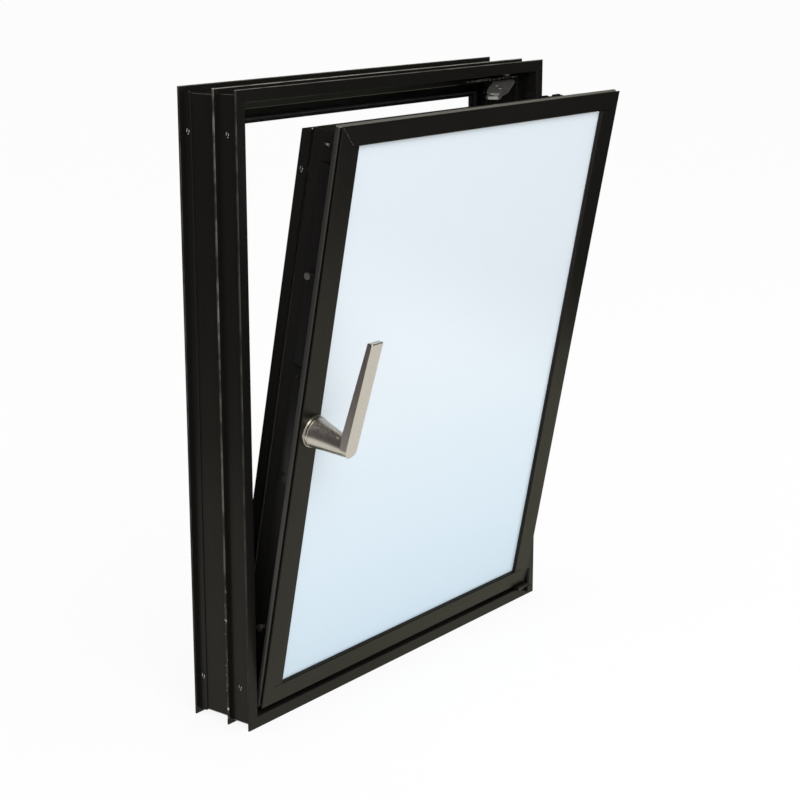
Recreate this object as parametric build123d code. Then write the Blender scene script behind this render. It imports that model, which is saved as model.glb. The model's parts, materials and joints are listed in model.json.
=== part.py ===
from build123d import *
from math import atan2, cos, degrees, hypot, radians, sin
import os

# Outer frame: overall size and the outline of its mitred extrusion.
# Insets run from the outer edge towards the opening, depths from the room face towards the outside.
WIDTH = 510.0
HEIGHT = 635.0
DEPTH = 75.0
FACE = 12.5  # face of the frame towards the room
FIN = 2.5  # thickness of the three fins round the outside
FIN_HEIGHT = 5.0
FIN_SETBACK = 28.0  # depth of the middle fin
LAND = 10.0  # raised land in front of the rear fin
LAND_STEP = 1.2
REBATE_STEP = 13.5  # how far the rear half of the rebate steps in
LEG = 42.0  # inset of the outside leg's edge
LEG_DEPTH = 6.0
LEG_RELIEF = 3.0  # chamfer of the outside leg
SEAL_SLOT = 2.0  # seal let into the outside leg
SEAL_WIDTH = 5.0
EASE = 0.5  # eased corners of the extrusions

# Gap left all round the closed sash, and running clearances.
GAP = 5.5
HEADROOM = 2.0  # above the guide pin of the closed sash
PIN_PLAY = 0.05
PLATE_PLAY = 0.5
TURN_PLAY = 0.3

# Sash: outline of its mitred extrusion.
SASH_DEPTH = 62.0
LIP = 10.0  # thickness of the lip that shows round the sash
LIP_OVERHANG = 8.0
LIP_GROOVE = 2.5
LIP_GROOVE_DEPTH = 3.0
LIP_PLATE = 1.5
LIP_EASE = 1.3  # broad easing of the lip's rear rib
STILE_FACE = 28.0  # faces of the stiles and rails, with their glazing beads
RAIL_FACE = 20.0
SASH_LEG = 23.0  # from the sash's edge to the end of its outside leg
BEAD_DEPTH = 2.5
BEAD_CHAMFER = 0.8
SASH_WALL = 3.5  # wall between the hardware groove and the glass
GROOVE_SETBACK = 14.0
GROOVE = 14.0  # width that the hardware takes in the groove
GROOVE_DEPTH = 4.0
REAR_LAND = 12.0
REAR_LAND_STEP = 6.0  # from the groove's floor
REAR_SLOPE = 8.0

# Sealed glass unit.
PANE = 4.0
CAVITY = 14.0
SEAL = 1.5  # thickness of the glazing seals
GLASS_EDGE_GAP = 1.5
SPACER = 5.0

# Tilt and turn pivots.
TILT = 10.75
PIVOT_FRONT = 2.5  # how far the pivot axes stand in front of the room face
KNUCKLE = 5.0
PIN = 3.0
TILT_PIN = 4.0
TILT_EYE = 6.0
TILT_PIN_LENGTH = 24.0
TILT_EYE_LENGTH = 18.0
PIN_STOP = 2.0  # how far the upright pins stop short in their knuckles
PLATE = 2.0  # thickness of the bent hardware plates
SEAT = 8.0
SEAT_HEIGHT = 6.5
LOWER_KNUCKLE_HEIGHT = 20.0
UPPER_KNUCKLE_HEIGHT = 12.0
UPPER_KNUCKLE_DROP = 45.0  # top of the upper knuckle below the frame's top
UPPER_EYE_HEIGHT = 10.0
BRACKET_DEPTH = 30.0
LEAF = 3.0

# Stay that holds the tilted sash.
ARM_WIDTH = 22.0
ARM_EYE = 18.0
ARM = 3.0
ARM_LIFT = 2.5  # clearance between the arm and the closed sash
ARM_SETBACK = 5.0  # how far the arm's line lies behind the middle of the groove
ARM_PIVOT_INSET = 36.0
ARM_REACH = 190.0  # from the arm's pivot to the guide pin, sash closed
ARM_TAPER = 35.0  # length over which the arm narrows towards its slot
ARM_RIVET = 6.0
RIVET_HEAD = 2.0
ARM_LEAD = 0.55  # degrees that the arm runs ahead of the guide pin
GUIDE_PIN = 4.0
GUIDE_SWAY = 2.8  # room for the guide pin at each side of the arm's slot
SLOT_WALL = 2.2
GUIDE_FOOT = 20.0
HINGE_PLATE = 3.0
HINGE_PLATE_LENGTH = 108.0
HINGE_PLATE_WIDTH = 16.0

# Locking points.
ROD = 2.5
ROD_WIDTH = 12.0
CAM = 7.0
CAM_STEM = 5.0
CAM_HEIGHT = 6.0
KEEP_LENGTH = 42.0
KEEP_BASE = 2.5
KEEP_REACH = 10.0
KEEP_WIDTH = 18.0
KEEP_LUG = 9.0
KEEP_RAMP = 2.5  # slope on both sides of a lug
KEEP_SETBACK = 11.0
UPPER_LOCK = 470.0
LOWER_LOCK = 100.0
SIDE_LOCK = 80.0  # lock on the sill, from the frame's left edge

# Handle.
HANDLE_HEIGHT = 319.0
HANDLE_INSET = 18.0  # from the sash's edge
ROSETTE = 32.5
ROSETTE_HEIGHT = 6.0
RING = 1.2  # step between the rosette's two rings
RING_GROOVE = 1.0
RING_EASE = 0.3
SPINDLE = 8.0
NECK = 30.5
NECK_LENGTH = 36.5
NECK_WAIST = 21.0  # width of the neck half way along
NECK_DROP = 1.5  # how far the neck's middle sinks towards the grip
NECK_LAP = 2.0  # how far the neck and the grip run into each other
GRIP_WIDTH = 17.0
GRIP_LENGTH = 120.0
GRIP_HEEL = 11.0  # how far the grip reaches below the spindle
GRIP_FOOT = 8.0  # thickness at the neck
GRIP_TIP = 6.2
GRIP_LEAN = 12.0
GRIP_EASE = 0.7  # eased edges of the grip


# Places worked out from the sizes above.
ROOM = -(FIN_SETBACK + FIN / 2)  # y of the room face; the middle fin is centred on y = 0
EDGE = FACE + GAP  # inset of the sash's edge
RIM = EDGE + LIP_OVERHANG
FLOOR = RIM + GROOVE_DEPTH
SIGHT = EDGE + SASH_LEG
RAIL_SIGHT = EDGE + RAIL_FACE
STILE_SIGHT = EDGE + STILE_FACE
POCKET = FLOOR + SASH_WALL
GLASS_FRONT = BEAD_DEPTH + SEAL
GLASS_BACK = GLASS_FRONT + 2 * PANE + CAVITY
GLASS_EDGE = POCKET + GLASS_EDGE_GAP
TURN_X = WIDTH / 2 - FACE - GAP / 2
PIVOT_Y = ROOM - PIVOT_FRONT
TILT_Z = FACE + GAP / 2
GROOVE_MIDDLE = GROOVE_SETBACK + GROOVE / 2
LEG_FRONT = DEPTH - LEG_DEPTH
ARM_BOTTOM = HEIGHT - RIM + ARM_LIFT

os.makedirs("parts", exist_ok=True)


def box(x, y, z):
    """A box from three pairs of limits."""
    size = [high - low for low, high in (x, y, z)]
    return Pos(x[0], y[0], z[0]) * Box(*size, align=(Align.MIN, Align.MIN, Align.MIN))


def upright(x, y, z, radius):
    """A round pin along Z between two heights."""
    return Pos(x, y, z[0]) * Cylinder(radius, z[1] - z[0], align=(Align.CENTER, Align.CENTER, Align.MIN))


def eased(outline, sharp=()):
    """Cuts the outward corners of an outline, apart from those that meet another piece."""
    loop = []
    turns = list(zip(outline[-1:] + outline[:-1], outline, outline[1:] + outline[:1]))
    winding = sum(a[0] * b[1] - a[1] * b[0] for a, b, c in turns)
    for before, corner, after in turns:
        arrive = (Vector(*before) - Vector(*corner)).normalized()
        leave = (Vector(*after) - Vector(*corner)).normalized()
        outward = leave.cross(arrive).Z * winding > 0
        if outward and corner not in sharp:
            cuts = [Vector(*corner) + way * EASE for way in (arrive, leave)]
            loop += [(cut.X, cut.Y) for cut in cuts]
        else:
            loop.append(corner)
    return loop


def bar(outline, run):
    """An extrusion along X, mitred at both ends, from (inset, depth) points."""
    section = make_face(Polyline(*[(0, ROOM + d, u) for u, d in outline], close=True))
    reach = max(u for u, d in outline)
    half = run / 2
    corners = [(-half, 0, 0), (half, 0, 0), (half - reach, 0, reach), (reach - half, 0, reach)]
    mitre = make_face(Polyline(*corners, close=True))
    length = extrude(section, amount=half, dir=(1, 0, 0), both=True)
    return length & extrude(mitre, amount=DEPTH, dir=(0, 1, 0), both=True)


def around(short_way, long_way):
    """Lengths along the bottom, the top, the left and the right."""
    return [
        short_way,
        Pos(0, 0, HEIGHT) * Rot(0, 180, 0) * short_way,
        Pos(-WIDTH / 2, 0, HEIGHT / 2) * Rot(0, 90, 0) * long_way,
        Pos(WIDTH / 2, 0, HEIGHT / 2) * Rot(0, -90, 0) * long_way,
    ]


def four_sides(outline):
    """The same mitred extrusion on all four sides."""
    return around(bar(outline, WIDTH), bar(outline, HEIGHT))


def ring(inset, width, front, back):
    """A flat rectangular loop, as a seal or a spacer."""
    outer = box((inset - WIDTH / 2, WIDTH / 2 - inset), (ROOM + front, ROOM + back), (inset, HEIGHT - inset))
    far = inset + width
    return outer - box((far - WIDTH / 2, WIDTH / 2 - far), (ROOM + front, ROOM + back), (far, HEIGHT - far))


def pane(front):
    """One sheet of glass."""
    across = (GLASS_EDGE - WIDTH / 2, WIDTH / 2 - GLASS_EDGE)
    return box(across, (ROOM + front, ROOM + front + PANE), (GLASS_EDGE, HEIGHT - GLASS_EDGE))


def tilted(shape):
    """Turns a piece of the closed sash about the tilt axis, as the stay holds it open."""
    return Pos(0, PIVOT_Y, TILT_Z) * Rot(TILT, 0, 0) * Pos(0, -PIVOT_Y, -TILT_Z) * shape


def save(name, shape):
    export_step(shape, f"parts/{name}.step")


# Outer frame, four mitred lengths of one extrusion, with the seal on its outside leg.
channel = FIN_HEIGHT + LAND_STEP
step = FACE + REBATE_STEP
step_front = SASH_DEPTH - REAR_LAND - REAR_SLOPE + GAP
frame_outline = [
    (0, 0),
    (FACE, 0),
    (FACE, step_front),
    (step, step_front + REAR_SLOPE),
    (step, LEG_FRONT),
    (LEG, LEG_FRONT),
    (LEG, DEPTH - LEG_RELIEF),
    (LEG - LEG_RELIEF, DEPTH),
    (0, DEPTH),
    (0, DEPTH - FIN),
    (FIN_HEIGHT, DEPTH - FIN),
    (FIN_HEIGHT, DEPTH - FIN - LAND),
    (channel, DEPTH - FIN - LAND),
    (channel, FIN_SETBACK + FIN),
    (0, FIN_SETBACK + FIN),
    (0, FIN_SETBACK),
    (FIN_HEIGHT, FIN_SETBACK),
    (FIN_HEIGHT, FIN),
    (0, FIN),
]
for side, piece in zip(("sill", "head", "left_jamb", "right_jamb"), four_sides(eased(frame_outline))):
    save(f"frame_{side}", piece)
seal_inset = LEG - LEG_RELIEF - SEAL_WIDTH
save("frame_seal", ring(seal_inset, SEAL_WIDTH, LEG_FRONT - SEAL_SLOT, LEG_FRONT))

# Sash, four mitred lengths of one extrusion with a lip, a hardware groove and a glass pocket.
slope_front = SASH_DEPTH - REAR_LAND - REAR_SLOPE
rear_land = FLOOR + REAR_LAND_STEP
rib_front = LIP_PLATE + LIP_GROOVE
sash_outline = [
    (EDGE, 0),
    (POCKET, 0),
    (POCKET, GLASS_BACK + SEAL),
    (SIGHT, GLASS_BACK + SEAL),
    (SIGHT, SASH_DEPTH),
    (rear_land, SASH_DEPTH),
    (rear_land, SASH_DEPTH - REAR_LAND),
    (FLOOR, slope_front),
    (FLOOR, GROOVE_SETBACK),
    (RIM, GROOVE_SETBACK),
    (RIM, LIP),
    (EDGE + LIP_EASE, LIP),
    (EDGE, LIP - LIP_EASE),
    (EDGE, rib_front + LIP_EASE),
    (EDGE + LIP_EASE, rib_front),
    (EDGE + LIP_GROOVE_DEPTH, rib_front),
    (EDGE + LIP_GROOVE_DEPTH, LIP_PLATE),
    (EDGE, LIP_PLATE),
]
joins = [(POCKET, 0), (SIGHT, GLASS_BACK + SEAL)]
sash_names = ("bottom_rail", "top_rail", "left_stile", "right_stile")
for side, piece in zip(sash_names, four_sides(eased(sash_outline, joins))):
    save(f"sash_{side}", tilted(piece))


def bead(sight, run):
    """A glazing bead along X with square ends, from the glass pocket to its edge on the glass."""
    outline = [
        (POCKET, 0),
        (sight - BEAD_CHAMFER, 0),
        (sight, BEAD_CHAMFER),
        (sight, BEAD_DEPTH),
        (POCKET, BEAD_DEPTH),
    ]
    section = make_face(Polyline(*[(0, ROOM + d, u) for u, d in outline], close=True))
    return extrude(section, amount=run / 2, dir=(1, 0, 0), both=True)


# The rails' beads run right across, and those on the stiles stand between them.
beads = around(bead(RAIL_SIGHT, WIDTH - 2 * POCKET), bead(STILE_SIGHT, HEIGHT - 2 * RAIL_SIGHT))
for side, piece in zip(("bottom", "top", "left", "right"), beads):
    save(f"{side}_glazing_bead", tilted(piece))

# Glass: two panes on a spacer, between an inner and an outer seal.
save("inner_glass_pane", tilted(pane(GLASS_FRONT)))
save("outer_glass_pane", tilted(pane(GLASS_BACK - PANE)))
save("glass_spacer", tilted(ring(GLASS_EDGE, SPACER, GLASS_FRONT + PANE, GLASS_BACK - PANE)))
inner_seal = ring(GLASS_EDGE, RAIL_SIGHT - GLASS_EDGE, BEAD_DEPTH, GLASS_FRONT)
save("inner_glazing_seal", tilted(inner_seal))
outer_seal = ring(GLASS_EDGE, SIGHT - GLASS_EDGE, GLASS_BACK, GLASS_BACK + SEAL)
save("outer_glazing_seal", tilted(outer_seal))

# Pivots on the frame: a seat with an upright pin at the foot, an eye with a hanging pin at the top.
seat_x = (TURN_X - SEAT / 2, TURN_X + SEAT / 2)
seat = box(seat_x, (PIVOT_Y - KNUCKLE / 2, ROOM), (FACE - SEAT_HEIGHT, FACE))
knuckle_foot = FACE + TURN_PLAY
knuckle_top = knuckle_foot + LOWER_KNUCKLE_HEIGHT
save("lower_pivot_seat", seat + upright(TURN_X, PIVOT_Y, (FACE, knuckle_top - PIN_STOP), PIN / 2))
eye_foot = HEIGHT - UPPER_KNUCKLE_DROP
eye = (eye_foot, eye_foot + UPPER_EYE_HEIGHT)
jamb_wall = WIDTH / 2 - FACE
upper_bracket = box((jamb_wall - PLATE, jamb_wall), (PIVOT_Y, ROOM + BRACKET_DEPTH), eye)
upper_bracket += upright(TURN_X, PIVOT_Y, eye, KNUCKLE / 2)
upper_knuckle = (eye_foot - UPPER_KNUCKLE_HEIGHT, eye_foot - TURN_PLAY)
upper_bracket += upright(TURN_X, PIVOT_Y, (upper_knuckle[0] + PIN_STOP, eye_foot), PIN / 2)
save("upper_pivot_bracket", upper_bracket)

# Turning pieces between the frame and the sash.
bore = PIN / 2 + PIN_PLAY
knuckle = upright(TURN_X, PIVOT_Y, (knuckle_foot, knuckle_top), KNUCKLE / 2)
tilt_pin = Pos(TURN_X - bore, PIVOT_Y, TILT_Z) * Rot(0, -90, 0)
tilt_pin *= Cylinder(TILT_PIN / 2, TILT_PIN_LENGTH, align=(Align.CENTER, Align.CENTER, Align.MIN))
knuckle = knuckle + tilt_pin - upright(TURN_X, PIVOT_Y, (knuckle_foot, knuckle_top), bore)
save("lower_hinge_knuckle", knuckle)

arm_x = WIDTH / 2 - ARM_PIVOT_INSET
groove_y = ROOM + GROOVE_MIDDLE
arm_y = groove_y + ARM_SETBACK
arm_z = (ARM_BOTTOM, ARM_BOTTOM + ARM)
plate_z = (arm_z[1] + PLATE_PLAY, arm_z[1] + PLATE_PLAY + HINGE_PLATE)
plate_y = (arm_y - HINGE_PLATE_WIDTH / 2, arm_y + HINGE_PLATE_WIDTH / 2)
leaf_x = (TURN_X - LEAF / 2, TURN_X + PLATE / 2 - TURN_PLAY)
hinge_plate = upright(TURN_X, PIVOT_Y, upper_knuckle, KNUCKLE / 2)
hinge_plate += box(leaf_x, (PIVOT_Y, plate_y[0] + LEAF), upper_knuckle)
post_x = (WIDTH / 2 - RIM + GAP - LEAF, TURN_X)
hinge_plate += box(post_x, (plate_y[0], plate_y[0] + LEAF), (upper_knuckle[0], plate_z[1]))
hinge_plate += box((TURN_X - HINGE_PLATE_LENGTH, TURN_X), plate_y, plate_z)
hinge_plate -= upright(TURN_X, PIVOT_Y, upper_knuckle, bore)
hinge_plate -= upright(arm_x, arm_y, plate_z, ARM_RIVET / 2 + PIN_PLAY)
save("upper_hinge_plate", hinge_plate)

# Eye under the sash that rides on the tilt pin.
eye_x = TURN_X - TILT_PIN_LENGTH
eye_axis = Pos(eye_x, PIVOT_Y, TILT_Z) * Rot(0, 90, 0)
along = (Align.CENTER, Align.CENTER, Align.MIN)
tongue_x = (eye_x, eye_x + TILT_EYE_LENGTH)
tongue_y = (PIVOT_Y, ROOM + LIP + PLATE)
tongue_z = (TILT_Z - PLATE / 2, TILT_Z + PLATE / 2)
corner_bracket = eye_axis * Cylinder(TILT_EYE / 2, TILT_EYE_LENGTH, align=along)
corner_bracket += box(tongue_x, tongue_y, tongue_z)
corner_bracket += box(tongue_x, (ROOM + LIP, ROOM + LIP + PLATE), (tongue_z[0], RIM))
corner_bracket -= eye_axis * Cylinder(TILT_PIN / 2 + PIN_PLAY, TILT_EYE_LENGTH, align=along)
save("sash_corner_bracket", tilted(corner_bracket))

# Stay arm: its slot runs on a guide pin that stands on the sash, over the whole tilt.
lean = radians(TILT)
back = arm_y - PIVOT_Y
arm_middle = (arm_z[0] + arm_z[1]) / 2
up_sash = (arm_middle - TILT_Z - back * sin(lean)) / cos(lean)
swing_out = arm_y - (PIVOT_Y + back * cos(lean) - up_sash * sin(lean))
arm_swing = degrees(atan2(swing_out, ARM_REACH)) + ARM_LEAD
slot_far = hypot(ARM_REACH, swing_out) + GUIDE_PIN / 2 + PLATE_PLAY
slot_near = ARM_REACH - GUIDE_PIN / 2 - PLATE_PLAY
half_slot = GUIDE_PIN / 2 + GUIDE_SWAY
half_end = half_slot + SLOT_WALL
arm_end = slot_far + SLOT_WALL
arm_edge = [
    (0, ARM_EYE / 2),
    (-ARM_EYE, ARM_WIDTH / 2),
    (SLOT_WALL + ARM_TAPER - slot_near, ARM_WIDTH / 2),
    (SLOT_WALL - slot_near, half_end),
    (SLOT_WALL - arm_end, half_end),
    (-arm_end, half_slot),
]
arm_loop = arm_edge + [(x, -y) for x, y in reversed(arm_edge)]
strip = extrude(make_face(Polyline(*[(x, y, arm_z[0]) for x, y in arm_loop], close=True)), amount=ARM)
arm = strip + upright(0, 0, arm_z, ARM_EYE / 2) - upright(0, 0, arm_z, ARM_RIVET / 2)
arm -= box((-slot_far, -slot_near), (-half_slot, half_slot), arm_z)
rivet_top = plate_z[1] + PLATE_PLAY
rivet = upright(0, 0, (arm_z[0], rivet_top), ARM_RIVET / 2)
rivet += upright(0, 0, (rivet_top, rivet_top + RIVET_HEAD), ARM_RIVET)
swung = Pos(arm_x, arm_y, 0) * Rot(0, 0, arm_swing)
save("stay_arm", swung * arm)
save("stay_pivot_rivet", swung * rivet)
guide_x = arm_x - ARM_REACH
foot_y = (groove_y - GROOVE / 2, groove_y + GROOVE / 2)
foot = box((guide_x - GUIDE_FOOT / 2, guide_x + GUIDE_FOOT / 2), foot_y, (HEIGHT - FLOOR, HEIGHT - RIM))
foot += upright(guide_x, arm_y, (HEIGHT - RIM, HEIGHT - FACE - HEADROOM), GUIDE_PIN / 2)
save("stay_guide_pin", tilted(foot))

# Locking: flat rods in the sash's groove carry cams, and keeps stand on the frame beside them.
rod_y = (groove_y - ROD_WIDTH / 2, groove_y + ROD_WIDTH / 2)
stile_floor = FLOOR - WIDTH / 2
rod_z = (LOWER_LOCK - KEEP_LENGTH, HEIGHT - LOWER_LOCK + KEEP_LENGTH)
left_rod = box((stile_floor - ROD, stile_floor), rod_y, rod_z)
save("left_drive_rod", tilted(left_rod))
rail_floor = HEIGHT - FLOOR
lock_x = SIDE_LOCK - WIDTH / 2
top_rod = box((lock_x, guide_x - GUIDE_FOOT), rod_y, (rail_floor, rail_floor + ROD))
save("top_drive_rod", tilted(top_rod))
bottom_rod = box((lock_x - KEEP_LENGTH / 2, -lock_x), rod_y, (FLOOR - ROD, FLOOR))
save("bottom_drive_rod", tilted(bottom_rod))


def cam():
    """A mushroom cam that stands on a rod along -X."""
    stem = Cylinder(CAM_STEM / 2, CAM_HEIGHT, align=along)
    head = Pos(0, 0, CAM_HEIGHT / 2) * Cylinder(CAM / 2, CAM_HEIGHT / 2, align=along)
    return Rot(0, -90, 0) * (stem + head)


for name, height in (("upper", UPPER_LOCK), ("lower", LOWER_LOCK)):
    save(f"left_{name}_cam", tilted(Pos(stile_floor - ROD, groove_y, height) * cam()))
bottom_cam = Pos(lock_x, groove_y, FLOOR - ROD) * Rot(0, -90, 0) * cam()
save("bottom_cam", tilted(bottom_cam))


def keep():
    """A keep with two lugs on a base plate, standing on a wall along +X."""
    base_y = (ROOM + KEEP_SETBACK, ROOM + KEEP_SETBACK + KEEP_WIDTH)
    shape = box((0, KEEP_BASE), base_y, (0, KEEP_LENGTH))
    for start in (KEEP_BASE, KEEP_LENGTH - KEEP_BASE - KEEP_LUG):
        end = start + KEEP_LUG
        lug = [
            (KEEP_BASE, start),
            (KEEP_REACH - KEEP_RAMP, start),
            (KEEP_REACH, start + KEEP_RAMP),
            (KEEP_REACH, end - KEEP_RAMP),
            (KEEP_REACH - KEEP_RAMP, end),
            (KEEP_BASE, end),
        ]
        side = make_face(Polyline(*[(x, base_y[0], z) for x, z in lug], close=True))
        shape += extrude(side, amount=KEEP_WIDTH, dir=(0, 1, 0))
    return shape


keep_rise = CAM + GAP
for name, height in (("upper", UPPER_LOCK), ("lower", LOWER_LOCK)):
    save(f"left_{name}_keep", Pos(FACE - WIDTH / 2, 0, height + keep_rise) * keep())
save("sill_keep", Pos(lock_x + keep_rise + KEEP_LENGTH, 0, FACE) * Rot(0, -90, 0) * keep())
plate_wall = WIDTH / 2 - step
cover_y = (ROOM + step_front + REAR_SLOPE + TURN_PLAY, ROOM + LEG_FRONT - SEAL_SLOT)
cover_z = (HEIGHT - step - KEEP_LENGTH, HEIGHT - step)
save("right_jamb_plate", box((plate_wall - PLATE, plate_wall), cover_y, cover_z))

# Handle: a round rosette on the left stile and a lever that points up while the sash is tilted.
handle = Pos(EDGE + HANDLE_INSET - WIDTH / 2, ROOM, HANDLE_HEIGHT) * Rot(90, 0, 0)
shaft = SPINDLE / 2 + PIN_PLAY
flange = ROSETTE / 2
upper_ring = flange - RING / 2
groove_foot = (ROSETTE_HEIGHT - RING_GROOVE) / 2
groove_top = groove_foot + RING_GROOVE
rosette_outline = [
    (shaft, 0),
    (flange, 0),
    (flange, groove_foot - RING_EASE),
    (flange - RING_EASE, groove_foot),
    (flange - RING, groove_foot),
    (flange - RING, groove_top),
    (upper_ring - RING_EASE, groove_top),
    (upper_ring, groove_top + RING_EASE),
    (upper_ring, ROSETTE_HEIGHT - RING_EASE),
    (upper_ring - RING_EASE, ROSETTE_HEIGHT),
    (shaft, ROSETTE_HEIGHT),
]
rosette = revolve(make_face(Polyline(*[(r, 0, h) for r, h in rosette_outline], close=True)), Axis.Z)
save("handle_rosette", tilted(handle * rosette))

# The lever is drawn with Z out of the sash and Y up.
neck_start = ROSETTE_HEIGHT + TURN_PLAY
neck_end = neck_start + NECK_LENGTH
front = neck_end + GRIP_FOOT - NECK_LAP
tip = GRIP_LENGTH - GRIP_HEEL
foot_height = 2 * GRIP_HEEL - NECK_LAP
neck = loft([
    Pos(0, 0, neck_start) * Circle(NECK / 2),
    Pos(0, -NECK_DROP / 2, (neck_start + neck_end) / 2) * Ellipse(NECK_WAIST / 2, (NECK + foot_height) / 4),
    Pos(0, -NECK_DROP, neck_end) * Ellipse(GRIP_WIDTH / 2, foot_height / 2),
])
side = make_face(Polyline(
    (0, -GRIP_HEEL, neck_end - NECK_LAP),
    (0, -GRIP_HEEL, front),
    (0, tip, front + GRIP_LEAN),
    (0, tip, front + GRIP_LEAN - GRIP_TIP),
    (0, GRIP_HEEL, neck_end - NECK_LAP),
    close=True,
))
grip = extrude(side, amount=GRIP_WIDTH, dir=(1, 0, 0), both=True)
half_grip = GRIP_WIDTH / 2
heel = half_grip - GRIP_HEEL
blade = Pos(0, (heel + tip) / 2, 0) * Rectangle(GRIP_WIDTH, tip - heel) + Pos(0, heel, 0) * Circle(half_grip)
grip &= extrude(blade, amount=front + GRIP_LEAN + GRIP_FOOT, dir=(0, 0, 1))
grip = chamfer(grip.edges(), GRIP_EASE)
spindle = Pos(0, 0, ROSETTE_HEIGHT / 2) * Cylinder(SPINDLE / 2, ROSETTE_HEIGHT, align=along)
save("handle_lever", tilted(handle * (neck + grip + spindle)))
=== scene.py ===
import bmesh
import bpy
import json
import random
from math import atan2, cos, pi, radians, sin
from mathutils import Matrix, Vector


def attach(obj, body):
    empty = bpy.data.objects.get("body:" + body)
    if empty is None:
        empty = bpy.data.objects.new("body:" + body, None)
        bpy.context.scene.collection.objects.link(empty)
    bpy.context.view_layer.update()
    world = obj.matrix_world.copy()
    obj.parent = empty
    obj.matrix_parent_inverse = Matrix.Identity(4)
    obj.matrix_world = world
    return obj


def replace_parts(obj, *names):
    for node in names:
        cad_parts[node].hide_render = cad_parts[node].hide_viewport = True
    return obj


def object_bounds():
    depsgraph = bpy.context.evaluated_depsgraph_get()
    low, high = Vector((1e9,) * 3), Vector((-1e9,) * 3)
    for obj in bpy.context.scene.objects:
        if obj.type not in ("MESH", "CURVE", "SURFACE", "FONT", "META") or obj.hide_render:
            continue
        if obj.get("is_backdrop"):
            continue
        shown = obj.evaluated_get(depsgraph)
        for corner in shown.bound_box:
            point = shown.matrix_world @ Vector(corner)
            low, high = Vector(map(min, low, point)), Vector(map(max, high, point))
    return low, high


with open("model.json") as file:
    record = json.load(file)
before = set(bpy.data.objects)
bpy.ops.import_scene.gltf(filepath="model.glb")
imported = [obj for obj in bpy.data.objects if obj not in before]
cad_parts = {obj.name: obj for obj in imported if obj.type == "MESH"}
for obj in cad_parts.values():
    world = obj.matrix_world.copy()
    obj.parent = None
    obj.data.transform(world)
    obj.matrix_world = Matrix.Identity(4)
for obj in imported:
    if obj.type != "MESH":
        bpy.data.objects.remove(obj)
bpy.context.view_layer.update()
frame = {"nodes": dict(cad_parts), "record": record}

MM = 0.001

# The window's own sizes in millimetres, as its extrusions and fittings have them.
# Insets run from the frame's outer edge towards the opening, depths from the room face towards the outside.
WIDTH, HEIGHT = 510.0, 635.0
LEFT, RIGHT = -WIDTH / 2, WIDTH / 2
ROOM = -29.25
SASH_EDGE = 18.0
SASH_RIM = 26.0
GROOVE_FLOOR = 30.0
REAR_LAND = 36.0
RAIL_SIGHT, STILE_SIGHT, OUTSIDE_SIGHT = 38.0, 46.0, 41.0
CHANNEL, DEEP_CHANNEL = 5.0, 6.2
GROOVE_MIDDLE = 21.0
FIN_TIP = 0.6
RIB_MIDDLE, RIB_HALF, RIB_SKIN, RIB_SKIN_HALF = 7.0, 3.6, 0.7, 0.8

tilt_joint = next(j for j in frame["record"]["behaviour"]["joints"] if j["name"] == "sash_tilt")
TILT_AXIS = Vector(tilt_joint["pos_m"])
TILT = -radians(tilt_joint["range_deg"][0])
TILTED = Matrix.Translation(TILT_AXIS) @ Matrix.Rotation(TILT, 4, "X") @ Matrix.Translation(-TILT_AXIS)


def colour(hexed):
    """A colour written as sRGB hex, turned to linear light."""
    parts = [int(hexed[i:i + 2], 16) / 255 for i in (1, 3, 5)]
    return [c / 12.92 if c <= 0.04045 else ((c + 0.055) / 1.055) ** 2.4 for c in parts] + [1.0]


def add(tree, kind, inputs=(), **settings):
    """Adds one node with its settings, and with values or links on its inputs."""
    made = tree.nodes.new(kind)
    for field, value in settings.items():
        setattr(made, field, value)
    for socket, value in dict(inputs).items():
        if isinstance(value, bpy.types.NodeSocket):
            tree.links.new(value, made.inputs[socket])
        else:
            made.inputs[socket].default_value = value
    return made


def new_material(name):
    """An empty material, with its tree and its output."""
    made = bpy.data.materials.new(name)
    made.use_nodes = True
    made.node_tree.nodes.clear()
    return made, made.node_tree, made.node_tree.nodes.new("ShaderNodeOutputMaterial")


def per(mm):
    """Texture scale for a pattern that repeats every so many millimetres."""
    return 1 / (mm * MM)


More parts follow.
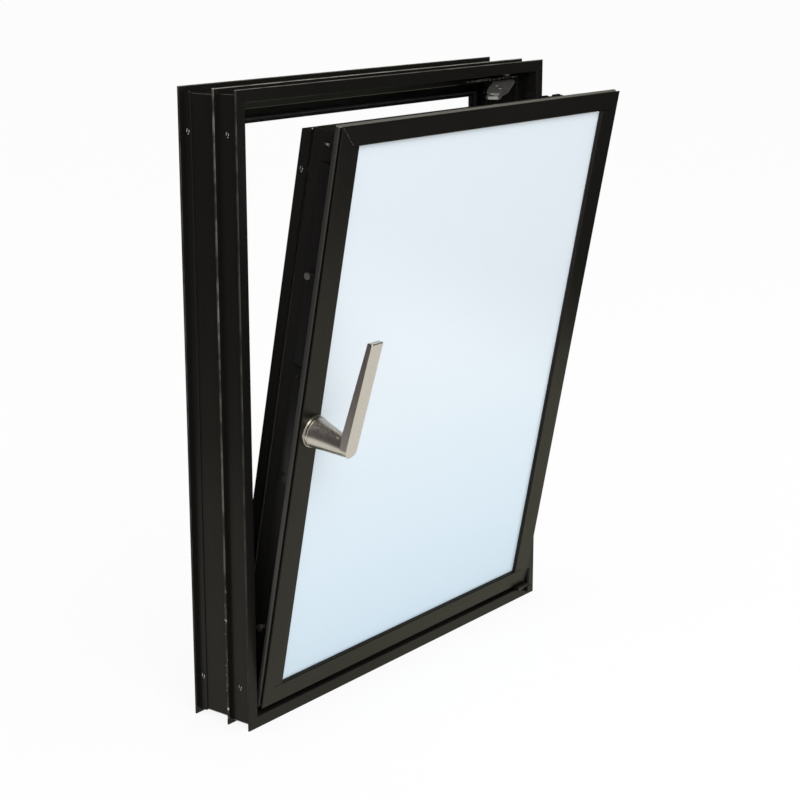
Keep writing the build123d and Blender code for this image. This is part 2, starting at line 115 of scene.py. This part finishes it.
def anodised(name, grain):
    """Extruded aluminium, dark bronze anodised: near black, with a satin gloss and faint die lines.

    The tips of the frame's fins, the middle one above all, are painted pale as a highlight along the
    head and in broken streaks down the jambs, lighter higher up, with pale flecks near the foot. The rib
    round the sash's edge has a painted highlight too, on its side and most on its top.
    """
    made, tree, out = new_material(name)
    spot = add(tree, "ShaderNodeTexCoord").outputs["Object"]
    # Die lines are finer than a pixel, so they are drawn 3 mm apart.
    lines = add(tree, "ShaderNodeMapping", {"Vector": spot, "Scale": grain})
    drawn = add(tree, "ShaderNodeTexNoise", {"Vector": lines.outputs[0], "Scale": 1.0, "Detail": 2.0})
    cloud = add(tree, "ShaderNodeTexNoise", {"Vector": spot, "Scale": per(90), "Detail": 2.0})
    tone = add(tree, "ShaderNodeMix", {
        0: cloud.outputs[0], 6: colour("#21201f"), 7: colour("#282724")}, data_type="RGBA")
    axes = add(tree, "ShaderNodeSeparateXYZ", {0: spot})
    across = add(tree, "ShaderNodeMath", {0: axes.outputs[0]}, operation="ABSOLUTE")
    beside = add(tree, "ShaderNodeMath", {
        0: across.outputs[0], 1: (RIGHT - FIN_TIP) * MM}, operation="GREATER_THAN")
    above = add(tree, "ShaderNodeMath", {
        0: axes.outputs[2], 1: (HEIGHT - FIN_TIP) * MM}, operation="GREATER_THAN")
    depth = add(tree, "ShaderNodeMath", {0: axes.outputs[1]}, operation="ABSOLUTE")
    heart = add(tree, "ShaderNodeMapRange", {0: depth.outputs[0], 1: 1.5 * MM, 2: 1.7 * MM, 3: 1.0, 4: 0.0})
    highlight_breakup = add(tree, "ShaderNodeTexNoise", {"Vector": spot, "Scale": per(24), "Detail": 4.0})
    flecks = add(tree, "ShaderNodeTexNoise", {"Vector": spot, "Scale": per(5), "Detail": 3.0})

    def paler_over(base, shade, *shares):
        """The tone with a paler shade laid over it where all the shares meet."""
        both = shares[0]
        for share in shares[1:]:
            both = add(tree, "ShaderNodeMath", {
                0: both.outputs[0], 1: share.outputs[0]}, operation="MULTIPLY")
        return add(tree, "ShaderNodeMix", {
            0: both.outputs[0], 6: base.outputs[2], 7: colour(shade)}, data_type="RGBA")

    # Painted highlight along the fin tips down the jambs, broken into streaks and lighter higher up,
    # strongest on the middle fin.
    tone = paler_over(
        tone, "#7d7b74", beside,
        add(tree, "ShaderNodeMapRange", {0: highlight_breakup.outputs[0], 1: 0.42, 2: 0.62, 3: 0.15, 4: 0.9}),
        add(tree, "ShaderNodeMapRange", {0: axes.outputs[2], 1: 0.1, 2: 0.4, 3: 0.2, 4: 1.0}),
        add(tree, "ShaderNodeMapRange", {0: heart.outputs[0], 3: 0.3, 4: 1.0}))
    # Painted highlight along the fin tips on the head's top, strongest on the middle fin.
    tone = paler_over(
        tone, "#c6c4ba", above,
        add(tree, "ShaderNodeMapRange", {0: highlight_breakup.outputs[0], 1: 0.35, 2: 0.6, 3: 0.5, 4: 1.0}),
        add(tree, "ShaderNodeMapRange", {0: heart.outputs[0], 3: 0.45, 4: 1.0}))
    # Pale flecks on the middle fin's tip down the jambs, near the foot.
    tone = paler_over(
        tone, "#c9c8c2", beside, heart,
        add(tree, "ShaderNodeMapRange", {0: flecks.outputs[0], 1: 0.6, 2: 0.66}),
        add(tree, "ShaderNodeMapRange", {0: axes.outputs[2], 1: 0.11, 2: 0.15, 3: 1.0, 4: 0.0}))
    # The rib is found on the leaning sash by its distance from the sash's face and from the sash's foot.
    lean = TILTED.to_3x3()
    into, upward = lean @ Vector((0, 1, 0)), lean @ Vector((0, 0, 1))
    rib = TILTED @ (Vector((0, ROOM + RIB_MIDDLE, HEIGHT - SASH_EDGE - RIB_SKIN)) * MM)
    deep = add(tree, "ShaderNodeVectorMath", {0: spot, 1: into}, operation="DOT_PRODUCT")
    high = add(tree, "ShaderNodeVectorMath", {0: spot, 1: upward}, operation="DOT_PRODUCT")
    behind = add(tree, "ShaderNodeMath", {
        0: deep.outputs["Value"], 1: into.dot(rib), 2: RIB_HALF * MM}, operation="COMPARE")
    crest = add(tree, "ShaderNodeMath", {
        0: high.outputs["Value"], 1: upward.dot(rib), 2: RIB_SKIN_HALF * MM}, operation="COMPARE")
    side = (RIGHT - SASH_EDGE - RIB_SKIN) * MM
    flank = add(tree, "ShaderNodeMath", {
        0: across.outputs[0], 1: side, 2: RIB_SKIN_HALF * MM}, operation="COMPARE")
    # Painted highlight on the rib round the sash: along its side, and brighter along its top.
    tone = paler_over(tone, "#43413e", flank, behind)
    tone = paler_over(tone, "#8a887f", crest, behind)
    gloss = add(tree, "ShaderNodeMapRange", {0: drawn.outputs[0], 1: 0.3, 2: 0.7, 3: 0.27, 4: 0.36})
    bump = add(tree, "ShaderNodeBump", {"Height": drawn.outputs[0], "Strength": 0.06, "Distance": 0.0004})
    skin = add(tree, "ShaderNodeBsdfPrincipled", {
        "Base Color": tone.outputs[2], "Metallic": 0.5, "Roughness": gloss.outputs[0],
        "Specular IOR Level": 0.1, "Specular Tint": colour("#f1eed1"), "Normal": bump.outputs[0]})
    tree.links.new(skin.outputs[0], out.inputs[0])
    return made


def rubber():
    """EPDM rubber, extruded: deep matt black with a fine skin."""
    made, tree, out = new_material("epdm_rubber_extruded")
    spot = add(tree, "ShaderNodeTexCoord").outputs["Object"]
    skin = add(tree, "ShaderNodeTexNoise", {"Vector": spot, "Scale": per(1.5), "Detail": 3.0})
    tone = add(tree, "ShaderNodeMix", {
        0: skin.outputs[0], 6: colour("#0b0b0b"), 7: colour("#161615")}, data_type="RGBA")
    bump = add(tree, "ShaderNodeBump", {"Height": skin.outputs[0], "Strength": 0.15, "Distance": 0.0002})
    body = add(tree, "ShaderNodeBsdfPrincipled", {
        "Base Color": tone.outputs[2], "Roughness": 0.72, "Normal": bump.outputs[0]})
    tree.links.new(body.outputs[0], out.inputs[0])
    return made


def window_glass():
    """Coated float glass: the pale blue sky that it throws back is a painted reflection in its colour,
    deeper at its foot; it lets a little through.
    """
    made, tree, out = new_material("coated_float_glass")
    spot = add(tree, "ShaderNodeTexCoord").outputs["Object"]
    axes = add(tree, "ShaderNodeSeparateXYZ", {0: spot})
    height = add(tree, "ShaderNodeMapRange", {0: axes.outputs[2], 1: 0.02, 2: 0.36})
    # Painted reflection: the sky's pale blue is painted into the glass's colour, bluer towards its foot.
    sky = add(tree, "ShaderNodeMix", {
        0: height.outputs[0], 6: colour("#d6eaf7"), 7: colour("#e8f1f8")}, data_type="RGBA")
    sheet = add(tree, "ShaderNodeTexNoise", {"Vector": spot, "Scale": per(160), "Detail": 1.0})
    bump = add(tree, "ShaderNodeBump", {"Height": sheet.outputs[0], "Strength": 0.02, "Distance": 0.002})
    pane = add(tree, "ShaderNodeBsdfPrincipled", {
        "Base Color": sky.outputs[2], "Roughness": 0.04, "IOR": 1.45, "Normal": bump.outputs[0],
        "Transmission Weight": 0.12})
    tree.links.new(pane.outputs[0], out.inputs[0])
    return made


def metal(name, light, dark, roughness, grain, depth):
    """A bare or plated metal, with a drawn or plated grain that shows as faint streaks."""
    made, tree, out = new_material(name)
    spot = add(tree, "ShaderNodeTexCoord").outputs["Object"]
    along = add(tree, "ShaderNodeMapping", {"Vector": spot, "Scale": grain})
    streak = add(tree, "ShaderNodeTexNoise", {"Vector": along.outputs[0], "Scale": 1.0, "Detail": 3.0})
    tone = add(tree, "ShaderNodeMix", {
        0: streak.outputs[0], 6: colour(dark), 7: colour(light)}, data_type="RGBA")
    gloss = add(tree, "ShaderNodeMapRange", {
        0: streak.outputs[0], 1: 0.3, 2: 0.7, 3: roughness * 0.85, 4: roughness * 1.15})
    bump = add(tree, "ShaderNodeBump", {"Height": streak.outputs[0], "Strength": depth, "Distance": 0.0003})
    body = add(tree, "ShaderNodeBsdfPrincipled", {
        "Base Color": tone.outputs[2], "Metallic": 1.0, "Roughness": gloss.outputs[0],
        "Normal": bump.outputs[0]})
    tree.links.new(body.outputs[0], out.inputs[0])
    return made


def black_coat():
    """Steel with a black electro-coat: smooth satin black with a slight orange peel."""
    made, tree, out = new_material("black_coated_steel")
    spot = add(tree, "ShaderNodeTexCoord").outputs["Object"]
    peel = add(tree, "ShaderNodeTexNoise", {"Vector": spot, "Scale": per(2.5), "Detail": 2.0})
    tone = add(tree, "ShaderNodeMix", {
        0: peel.outputs[0], 6: colour("#0d0d0c"), 7: colour("#171614")}, data_type="RGBA")
    bump = add(tree, "ShaderNodeBump", {"Height": peel.outputs[0], "Strength": 0.1, "Distance": 0.0003})
    body = add(tree, "ShaderNodeBsdfPrincipled", {
        "Base Color": tone.outputs[2], "Roughness": 0.4, "IOR": 1.36, "Normal": bump.outputs[0]})
    tree.links.new(body.outputs[0], out.inputs[0])
    return made


ALONG_X = (per(400), per(3), per(3))
ALONG_Z = (per(3), per(3), per(400))
bronze_level = anodised("bronze_anodised_aluminium_level", ALONG_X)
bronze_upright = anodised("bronze_anodised_aluminium_upright", ALONG_Z)
# Brushing on the handle is drawn 1.5 mm apart, because its true spacing is too fine to show.
nickel = metal("satin_nickel_brushed", "#cfc9bd", "#bdb6a9", 0.3, (per(1.5), per(1.5), per(60)), 0.02)
zinc = metal("zinc_plated_steel", "#cbcac5", "#a4a29c", 0.42, (per(14), per(5), per(5)), 0.08)
mill = metal("mill_finish_aluminium", "#c2c2bf", "#a9a9a6", 0.4, (per(3), per(3), per(3)), 0.05)

FINISH = {
    "bronze_aluminium": bronze_upright, "black_rubber": rubber(), "clear_glass": window_glass(),
    "mill_aluminium": mill, "black_hardware": black_coat(), "satin_nickel": nickel, "zinc_steel": zinc}
LEVEL = ("sill", "head", "rail", "bottom_glazing_bead", "top_glazing_bead")
for part in frame["record"]["subparts"]:
    skins = frame["nodes"][part["node"]].data.materials
    skins.clear()
    skins.append(bronze_level if part["node"].endswith(LEVEL) else FINISH[part["material_slot"]])


def settle(bm, name, body, slot):
    """Ends a piece: to metres, leaned with the sash where it rides there, skinned, and put on its body."""
    bmesh.ops.scale(bm, vec=(MM, MM, MM), verts=bm.verts)
    if body in ("sash", "lever"):
        bmesh.ops.transform(bm, matrix=TILTED, verts=bm.verts)
    bmesh.ops.recalc_face_normals(bm, faces=bm.faces)
    mesh = bpy.data.meshes.new(name)
    bm.to_mesh(mesh)
    bm.free()
    mesh.shade_smooth()
    mesh.set_sharp_from_angle(angle=radians(32))
    piece = bpy.data.objects.new(name, mesh)
    piece.data.materials.append(FINISH[slot])
    bpy.context.scene.collection.objects.link(piece)
    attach(piece, body)
    return piece


def stamp(bm, shape, places):
    """Sets a shape down at each place, which is a point and the way that the shape's top looks."""
    for point, facing in places:
        old = set(bm.verts)
        shape(bm)
        made = [v for v in bm.verts if v not in old]
        turn = Vector(facing).to_track_quat("Z", "Y").to_matrix().to_4x4()
        bmesh.ops.transform(bm, matrix=Matrix.Translation(point) @ turn, verts=made)


def top_face(bm):
    """The highest face of what was made last, around the Z axis."""
    level = [f for f in bm.faces if f.normal.z > 0.99 and f.calc_center_median().xy.length < 0.01]
    return max(level, key=lambda f: f.calc_center_median().z)


def turned(bm, outline, steps=20):
    """A solid of revolution about Z from (radius, height) points."""
    verts = [bm.verts.new((r, 0, h)) for r, h in outline]
    edges = [bm.edges.new(pair) for pair in zip(verts, verts[1:])]
    bmesh.ops.spin(
        bm, geom=verts + edges, cent=(0, 0, 0), axis=(0, 0, 1), angle=2 * pi, steps=steps, use_merge=True)
    bmesh.ops.remove_doubles(bm, verts=bm.verts, dist=0.001)


def block(bm, low, high, ease):
    """A block between two corners, with its edges eased."""
    made = bmesh.ops.create_cube(bm, size=1.0)["verts"]
    low, high = Vector(low), Vector(high)
    bmesh.ops.scale(bm, vec=high - low, verts=made)
    bmesh.ops.translate(bm, vec=(low + high) / 2, verts=made)
    edges = list({e for v in made for e in v.link_edges})
    bmesh.ops.bevel(bm, geom=edges, offset=ease, segments=2, profile=0.5, affect="EDGES", material=-1)


def mitred_loop(outline, wider=0.0):
    """A profile of (inset, depth) points carried round the four corners, further in at the uprights."""
    bm = bmesh.new()
    rings = []
    for across, up in ((-1, -1), (1, -1), (1, 1), (-1, 1)):
        verts = []
        for u, d in outline:
            corner = (across * (RIGHT - u - wider), ROOM + d, HEIGHT / 2 + up * (HEIGHT / 2 - u))
            verts.append(bm.verts.new(corner))
        rings.append([bm.edges.new(pair) for pair in zip(verts, verts[1:] + verts[:1])])
    for one, other in zip(rings, rings[1:] + rings[:1]):
        bmesh.ops.bridge_loops(bm, edges=one + other)
    return bm


# Rubber: a bulb on the frame's outside leg, and wedge gaskets with a lip at both sides of the glass.
BULB_MIDDLE, BULB = (36.4, 67.0), 1.7
bulb_arc = [radians(a) for a in (40, 10, -20, -50, -80, -110, -140, -170, -200, -220)]
bulb = [(34.0, 69.0), (39.0, 69.0), (39.0, 68.4)]
bulb += [(BULB_MIDDLE[0] + BULB * cos(a), BULB_MIDDLE[1] + BULB * sin(a)) for a in bulb_arc]
bulb += [(34.0, 68.4)]
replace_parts(settle(mitred_loop(bulb), "frame_bulb_seal", "frame", "black_rubber"), "frame_seal")
lip = [(-3.0, 0.0), (0.0, 0.0), (0.5, 0.3), (0.9, 1.1), (0.8, 1.5), (-3.0, 1.5)]
bead_loop = mitred_loop([(RAIL_SIGHT + u, 2.5 + d) for u, d in lip], STILE_SIGHT - RAIL_SIGHT)
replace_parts(settle(bead_loop, "inner_glass_gasket", "sash", "black_rubber"), "inner_glazing_seal")
leg_loop = mitred_loop([(OUTSIDE_SIGHT + u, 27.5 - d) for u, d in lip])
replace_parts(settle(leg_loop, "outer_glass_gasket", "sash", "black_rubber"), "outer_glazing_seal")


# Fasteners.
def lobed_screw(radius, height):
    """A pan head screw with a six-lobe recess."""
    def shape(bm):
        old = set(bm.verts)
        bmesh.ops.create_cone(bm, cap_ends=True, segments=24, radius1=radius, radius2=radius, depth=height)
        made = [v for v in bm.verts if v not in old]
        bmesh.ops.translate(bm, vec=(0, 0, height / 2), verts=made)
        bm.normal_update()
        top = top_face(bm)
        rim = top.edges[:]
        ease = height * 0.55
        bmesh.ops.bevel(bm, geom=rim, offset=ease, segments=4, profile=0.5, affect="EDGES", material=-1)
        bm.normal_update()
        top = top_face(bm)
        bmesh.ops.inset_region(bm, faces=[top], thickness=radius * 0.25)
        for v in top.verts:
            lobe = 1 + 0.2 * cos(6 * atan2(v.co.y, v.co.x))
            v.co.xy *= lobe
        bmesh.ops.inset_region(bm, faces=[top], thickness=radius * 0.04, depth=-height * 0.6)
    return shape


def domed_rivet(radius, height):
    """A rivet with a low dome."""
    dome = ((0, 0), (1, 0), (1, 0.3), (0.88, 0.62), (0.62, 0.88), (0.3, 0.98), (0, 1))
    return lambda bm: turned(bm, [(radius * r, height * h) for r, h in dome])


def press_dent(bm):
    """A mark that the corner press leaves: an oval dent with a raised rim."""
    old = set(bm.verts)
    turned(bm, [(0, 0), (2.1, 0), (1.8, 0.3), (1.4, 0.3), (1.0, 0.1), (0, 0.08)], steps=16)
    made = [v for v in bm.verts if v not in old]
    bmesh.ops.scale(bm, vec=(0.85, 1.6, 1.0), verts=made)


def press_burr(bm):
    """The bare metal that the press tears up: three short curls on the dent's rim."""
    old = set(bm.verts)
    for start, sweep, height in ((95, 110, 0.8), (250, 65, 0.7), (340, 40, 0.6)):
        rim = [bm.verts.new(point) for point in ((1.2, 0, 0.2), (1.6, 0, height), (2.1, 0, 0.1))]
        edges = [bm.edges.new(pair) for pair in zip(rim, rim[1:] + rim[:1])]
        bmesh.ops.rotate(bm, cent=(0, 0, 0), matrix=Matrix.Rotation(radians(start), 3, "Z"), verts=rim)
        bmesh.ops.spin(bm, geom=rim + edges, cent=(0, 0, 0), axis=(0, 0, 1), angle=radians(sweep), steps=5)
    made = [v for v in bm.verts if v not in old]
    bmesh.ops.holes_fill(bm, edges=list({e for v in made for e in v.link_edges if e.is_boundary}), sides=3)
    bmesh.ops.scale(bm, vec=(0.85, 1.6, 1.0), verts=made)


KEEP_INSET, KEEP_DEPTH = 15.0, 20.0  # the keeps' faces, and their screws behind the room face
JAMB_KEEP_SCREWS = (129.0, 138.0, 499.0, 508.0)  # heights
SILL_KEEP_SCREWS = (-146.0, -137.0)
PLATE_FACE, PLATE_MIDDLE = 227.0, 32.15  # the right jamb's plate
PLATE_SCREWS = (577.0, 599.0)
BRACKET_FACE, BRACKET_HEIGHT = 240.5, 595.0  # the upper pivot's bracket
BRACKET_SCREWS = (-18.0, -3.0)
screws = [((LEFT + KEEP_INSET, ROOM + KEEP_DEPTH, z), (1, 0, 0)) for z in JAMB_KEEP_SCREWS]
screws += [((x, ROOM + KEEP_DEPTH, KEEP_INSET), (0, 0, 1)) for x in SILL_KEEP_SCREWS]
screws += [((PLATE_FACE, PLATE_MIDDLE, z), (-1, 0, 0)) for z in PLATE_SCREWS]
bm = bmesh.new()
stamp(bm, lobed_screw(3.1, 1.6), screws)
stamp(bm, lobed_screw(2.6, 0.7), [((BRACKET_FACE, y, BRACKET_HEIGHT), (-1, 0, 0)) for y in BRACKET_SCREWS])
settle(bm, "frame_fitting_screws", "frame", "black_hardware")

# Marks of the corner press: their distance from a corner, and their depths behind the room face.
ENDS = 37.0
FRAME_MARKS, SASH_MARKS = (16.0, 66.5), (56.0,)


def press_marks(inset, depths):
    """Places of the marks near both ends of all four lengths, on a face at an inset."""
    places = []
    for y in (ROOM + depth for depth in depths):
        for z in (inset + ENDS, HEIGHT - inset - ENDS):
            places += [((LEFT + inset, y, z), (-1, 0, 0)), ((RIGHT - inset, y, z), (1, 0, 0))]
        for x in (LEFT + inset + ENDS, RIGHT - inset - ENDS):
            places += [((x, y, inset), (0, 0, -1)), ((x, y, HEIGHT - inset), (0, 0, 1))]
    return places


for body, inset, depths in (("frame", CHANNEL, FRAME_MARKS), ("sash", REAR_LAND, SASH_MARKS)):
    marks = press_marks(inset, depths)
    bm = bmesh.new()
    stamp(bm, press_dent, marks)
    settle(bm, f"{body}_press_dents", body, "bronze_aluminium")
    bm = bmesh.new()
    stamp(bm, press_burr, marks)
    settle(bm, f"{body}_press_burrs", body, "mill_aluminium")

# Pins of the sash's corner cleats, two to a corner on the top and bottom rails.
PIN_DEPTH, PIN_PLACES = 57.0, (9.0, 15.0)
bm = bmesh.new()
for nudge in PIN_PLACES:
    for x in (LEFT + REAR_LAND + nudge, RIGHT - REAR_LAND - nudge):
        y = ROOM + PIN_DEPTH
        pins = [((x, y, REAR_LAND), (0, 0, -1)), ((x, y, HEIGHT - REAR_LAND), (0, 0, 1))]
        stamp(bm, domed_rivet(1.5, 1.0), pins)
settle(bm, "sash_cleat_pins", "sash", "mill_aluminium")

# The sash's mitre joint across the face at its upper left corner, drawn at that corner only as a bright
# bare line, a painted highlight;
# and saw-cut edges that show bare metal along the bottoms of the frame's channels at all four corners.
bm = bmesh.new()
reach = RAIL_SIGHT - SASH_EDGE - 2.0
half = reach / 2 * 2 ** 0.5
middle = SASH_EDGE + 1.0 + reach / 2
block(bm, (-half, -0.05, -0.09), (half, 0.03, 0.09), 0.015)
turn = Matrix.Translation((LEFT + middle, ROOM, HEIGHT - middle)) @ Matrix.Rotation(radians(45), 4, "Y")
bmesh.ops.transform(bm, matrix=turn, verts=bm.verts)
settle(bm, "sash_mitre_line_painted_highlight", "sash", "mill_aluminium")

# Inset, front and back of each channel's bottom.
CHANNEL_FLOORS = ((CHANNEL, 4.0, 27.0), (DEEP_CHANNEL, 32.0, 61.5), (CHANNEL, 63.0, 65.0))
bm = bmesh.new()
for x in (LEFT, RIGHT):
    for z in (0, HEIGHT):
        for inset, front, back in CHANNEL_FLOORS:
            spot = Vector((x + (inset if x < 0 else -inset), ROOM, z + (inset if z == 0 else -inset)))
            low, high = Vector((-0.35, front, -0.35)), Vector((0.35, back, 0.35))
            block(bm, spot + low, spot + high, 0.15)
settle(bm, "frame_mitre_edges", "frame", "mill_aluminium")

# Gear plate over the rod behind the handle, with its screws, and two catches behind the sash's top lip.
GEAR_FOOT, GEAR_HEAD, GEAR_HALF, GEAR_END = 259.0, 379.0, 6.4, 8.0
CATCHES, CATCH_LENGTH, CATCH_FRONT, CATCH_BACK = (98.0, 121.0), 13.0, 10.1, 13.0
CATCH_TOP = HEIGHT - SASH_EDGE + 1.2
bm = bmesh.new()
plate_x, plate_y = LEFT + SASH_RIM + 0.3, ROOM + GROOVE_MIDDLE
block(bm, (plate_x, plate_y - GEAR_HALF, GEAR_FOOT), (plate_x + 1.2, plate_y + GEAR_HALF, GEAR_HEAD), 0.4)
gear_screws = [((plate_x, plate_y, z), (-1, 0, 0)) for z in (GEAR_FOOT + GEAR_END, GEAR_HEAD - GEAR_END)]
stamp(bm, lobed_screw(2.4, 0.9), gear_screws)
for x in CATCHES:
    catch_low = (x, ROOM + CATCH_FRONT, HEIGHT - SASH_RIM)
    block(bm, catch_low, (x + CATCH_LENGTH, ROOM + CATCH_BACK, CATCH_TOP), 0.5)
settle(bm, "sash_gear_plate", "sash", "black_hardware")

# Ends of the drive's corner links, in the groove near the top and the foot of the handle's stile.
LINK_ENDS, LINK_RISE, LINK_LENGTH, LINK_MIDDLE = (40.0, 593.0), 1.6, 2.5, 24.0
link_x, link_y = LEFT + GROOVE_FLOOR - LINK_RISE, ROOM + LINK_MIDDLE
bm = bmesh.new()
for z in LINK_ENDS:
    block(bm, (link_x, link_y - 3.0, z), (link_x + LINK_RISE, link_y + 3.0, z + LINK_LENGTH), 0.4)
    stamp(bm, domed_rivet(1.2, 0.6), [((link_x, link_y, z + LINK_LENGTH / 2), (-1, 0, 0))])
settle(bm, "drive_link_ends", "sash", "zinc_steel")

# Stay: rivets along the arm, and the teeth along the front of the plate that it hangs from.
ARM_PIVOT, ARM_ANGLE = Vector((219.0, -3.25, 614.5)), radians(31.286)
arm_way = Vector((-cos(ARM_ANGLE), -sin(ARM_ANGLE), 0))
arm_side = Vector((arm_way.y, -arm_way.x, 0))
ARM_RIVETS = ((97.0, 4.5), (134.0, -1.0))  # along the arm and across it
bm = bmesh.new()
for reach, shift in ARM_RIVETS:
    stamp(bm, domed_rivet(2.8, 1.3), [(ARM_PIVOT + arm_way * reach + arm_side * shift, (0, 0, 1))])
settle(bm, "stay_arm_rivets", "stay", "zinc_steel")

# Each tooth is torn to its own length and twist.
TEETH_START, TEETH_END = 133.0, 230.0
TOOTH_FRONT, TOOTH_BACK, TOOTH_FOOT, TOOTH_TIP = -12.1, -11.0, 616.0, 617.6
TOOTH_ROOT = -11.5
random.seed(7)
bm = bmesh.new()
x = TEETH_START
while x < TEETH_END:
    long_way = random.uniform(3.0, 12.0)
    foot = TOOTH_FOOT - random.uniform(0, 0.6)
    tip = TOOTH_TIP + random.uniform(0, 0.7)
    twist = Matrix.Rotation(radians(random.uniform(-40, 40)), 3, "X")
    old = set(bm.verts)
    block(bm, (x, TOOTH_FRONT, foot), (x + long_way, TOOTH_BACK, tip), 0.25)
    tooth = [v for v in bm.verts if v not in old]
    root = (x + long_way / 2, TOOTH_ROOT, (TOOTH_FOOT + TOOTH_TIP) / 2)
    bmesh.ops.rotate(bm, cent=root, matrix=twist, verts=tooth)
    x += long_way + random.uniform(1.0, 4.0)
settle(bm, "hinge_plate_teeth", "turn_hinge", "zinc_steel")

# Grub screw in the side of the lever's neck.
GRUB_PLACE, GRUB_FACING = (LEFT + 30.1, ROOM - 35.0, 326.2), (-0.66, 0.1, 0.75)
bm = bmesh.new()
stamp(bm, lobed_screw(2.0, 0.8), [(GRUB_PLACE, GRUB_FACING)])
settle(bm, "lever_grub_screw", "lever", "satin_nickel")


# Floor, cards and light.
def stage_sheet(name, corners, material, camera=True):
    """A flat sheet that belongs to the studio and not to the window."""
    bm = bmesh.new()
    bm.faces.new([bm.verts.new(c) for c in corners])
    mesh = bpy.data.meshes.new(name)
    bm.to_mesh(mesh)
    bm.free()
    sheet = bpy.data.objects.new(name, mesh)
    sheet.data.materials.append(material)
    bpy.context.scene.collection.objects.link(sheet)
    sheet.visible_camera = camera
    sheet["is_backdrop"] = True
    return sheet


def seeing_rays(tree):
    """1 for the rays that show the studio: straight to the eye, in a mirror or through glass."""
    path = add(tree, "ShaderNodeLightPath")
    straight = add(tree, "ShaderNodeMath", {
        0: path.outputs["Is Camera Ray"], 1: path.outputs["Is Glossy Ray"]}, operation="MAXIMUM")
    return add(tree, "ShaderNodeMath", {
        0: straight.outputs[0], 1: path.outputs["Is Transmission Ray"]}, operation="MAXIMUM")


def studio_floor():
    """Matt white paper: white to the eye and in reflections, with the window's soft shadow left on it."""
    made, tree, out = new_material("white_paper_floor")
    share = add(tree, "ShaderNodeMath", {0: seeing_rays(tree).outputs[0], 1: 0.9}, operation="MULTIPLY")
    paper = add(tree, "ShaderNodeBsdfDiffuse", {0: colour("#f7f7f6")})
    white = add(tree, "ShaderNodeEmission", {0: (1, 1, 1, 1), 1: 1.0})
    mix = add(tree, "ShaderNodeMixShader", {0: share.outputs[0], 1: paper.outputs[0], 2: white.outputs[0]})
    tree.links.new(mix.outputs[0], out.inputs[0])
    return made


def felt_card(name, shade, foot, head):
    """Felt card with a soft lower edge between two heights, which only reflections see."""
    made, tree, out = new_material(name)
    spot = add(tree, "ShaderNodeTexCoord").outputs["Object"]
    axes = add(tree, "ShaderNodeSeparateXYZ", {0: spot})
    fade = add(tree, "ShaderNodeMapRange", {
        0: axes.outputs[2], 1: foot, 2: head}, interpolation_type="SMOOTHSTEP")
    felt = add(tree, "ShaderNodeBsdfDiffuse", {0: colour(shade)})
    clear = add(tree, "ShaderNodeBsdfTransparent")
    mix = add(tree, "ShaderNodeMixShader", {0: fade.outputs[0], 1: clear.outputs[0], 2: felt.outputs[0]})
    tree.links.new(mix.outputs[0], out.inputs[0])
    return made


FLOOR = 30.0
floor_corners = [(-FLOOR, -FLOOR, 0), (FLOOR, -FLOOR, 0), (FLOOR, FLOOR, 0), (-FLOOR, FLOOR, 0)]
stage_sheet("studio_floor", floor_corners, studio_floor())
CARD_TOP = 2.6


def standing(x0, y0, x1, y1):
    """Corners of a card that stands on the floor between two places."""
    return [(x0, y0, 0.001), (x1, y1, 0.001), (x1, y1, CARD_TOP), (x0, y0, CARD_TOP)]


OVERHEAD = 1.8
overhead = [(-0.9, -0.5, OVERHEAD), (1.6, -0.5, OVERHEAD), (1.6, 1.6, OVERHEAD), (-0.9, 1.6, OVERHEAD)]
CARDS = {
    "front_card": (standing(1.12, 0.6, 0.05, -1.6), felt_card("black_felt", "#181818", 0.0, 0.2)),
    "left_card": (standing(-0.75, -0.3, -0.75, 2.0), felt_card("grey_felt", "#625c63", 0.0, 0.12)),
    "back_card": (standing(-1.2, 1.9, 5.0, 1.9), felt_card("dark_grey_felt", "#2a2929", 0.1, 0.4)),
    "top_card": (overhead, felt_card("slate_felt", "#2a2929", 0.0, 0.1))}
for name, (corners, felt) in CARDS.items():
    card = stage_sheet(name, corners, felt, camera=False)
    card.visible_diffuse = False
    card.visible_shadow = False
    card.visible_transmission = False

world = bpy.data.worlds.new("white_studio")
world.use_nodes = True
world.node_tree.nodes.clear()
# The sky is white where it is seen, and lights the window a little less.
tree = world.node_tree
level = add(tree, "ShaderNodeMapRange", {0: seeing_rays(tree).outputs[0], 3: 0.8, 4: 1.0})
sky = add(tree, "ShaderNodeBackground", {0: (1, 1, 1, 1), 1: level.outputs[0]})
add(tree, "ShaderNodeOutputWorld", {0: sky.outputs[0]})
bpy.context.scene.world = world


def softbox(name, place, aim, size, watts):
    """A square soft lamp."""
    data = bpy.data.lights.new(name, "AREA")
    data.size = size
    data.energy = watts
    lamp = bpy.data.objects.new(name, data)
    look = (Vector(aim) - Vector(place)).to_track_quat("-Z", "Y").to_matrix().to_4x4()
    lamp.matrix_world = Matrix.Translation(place) @ look
    bpy.context.scene.collection.objects.link(lamp)


softbox("key_softbox", (-1.2, -2.4, 2.6), (0, 0, 0.3), 1.6, 40)
softbox("fill_softbox", (2.2, -1.8, 1.8), (0, 0, 0.3), 1.6, 12)

# Camera, at the photograph's place.
STAND = (-1.5117, -1.1874, 0.7793)
YAW, PITCH = radians(52.381), radians(-14.387)
ahead = Vector((sin(YAW) * cos(PITCH), cos(YAW) * cos(PITCH), sin(PITCH)))
across = Vector((cos(YAW), -sin(YAW), 0))
view = bpy.data.cameras.new("camera")
view.lens = 82.95
view.sensor_width = 36.0
camera = bpy.data.objects.new("camera", view)
look = Matrix((across, across.cross(ahead), -ahead)).transposed().to_4x4()
camera.matrix_world = Matrix.Translation(STAND) @ look
bpy.context.scene.collection.objects.link(camera)
bpy.context.scene.camera = camera
bpy.context.scene.view_settings.view_transform = "Standard"

low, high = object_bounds()
